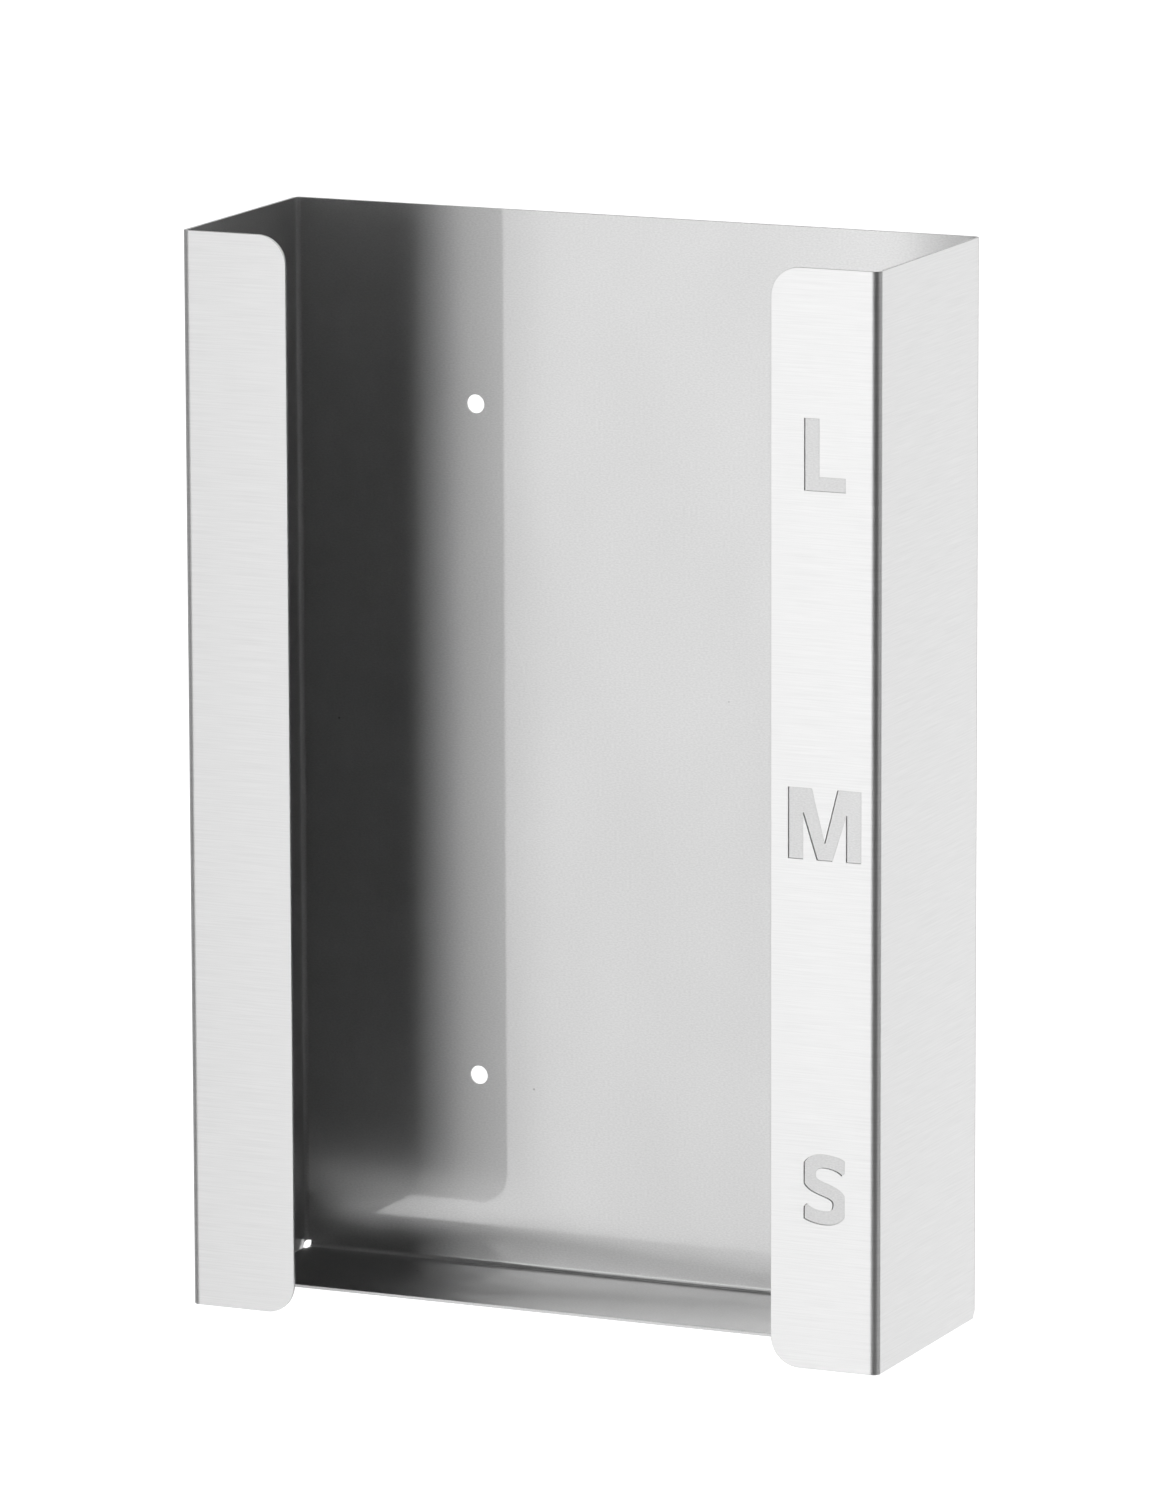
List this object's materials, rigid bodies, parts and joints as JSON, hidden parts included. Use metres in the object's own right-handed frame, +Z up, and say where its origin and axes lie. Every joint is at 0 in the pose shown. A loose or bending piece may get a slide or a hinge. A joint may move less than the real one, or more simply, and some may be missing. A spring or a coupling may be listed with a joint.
{
  "type": "disposable glove dispenser",
  "caption": "Wall-mounted glove dispenser folded from one steel sheet: open-topped box with front returns, a bottom shelf and cut-out size marks.",
  "frame": {"origin": "middle of the wall-hole pattern, on the face that lies against the wall", "axes": "+X to the right seen from the front, +Y into the wall, +Z up"},
  "size_m": [0.25, 0.088, 0.366],
  "materials": {
    "brushed_steel": "fine horizontal brushing outside, smooth satin inside"
  },
  "bodies": {
    "root": {"dispenser": "brushed_steel"}
  },
  "joints": []
}
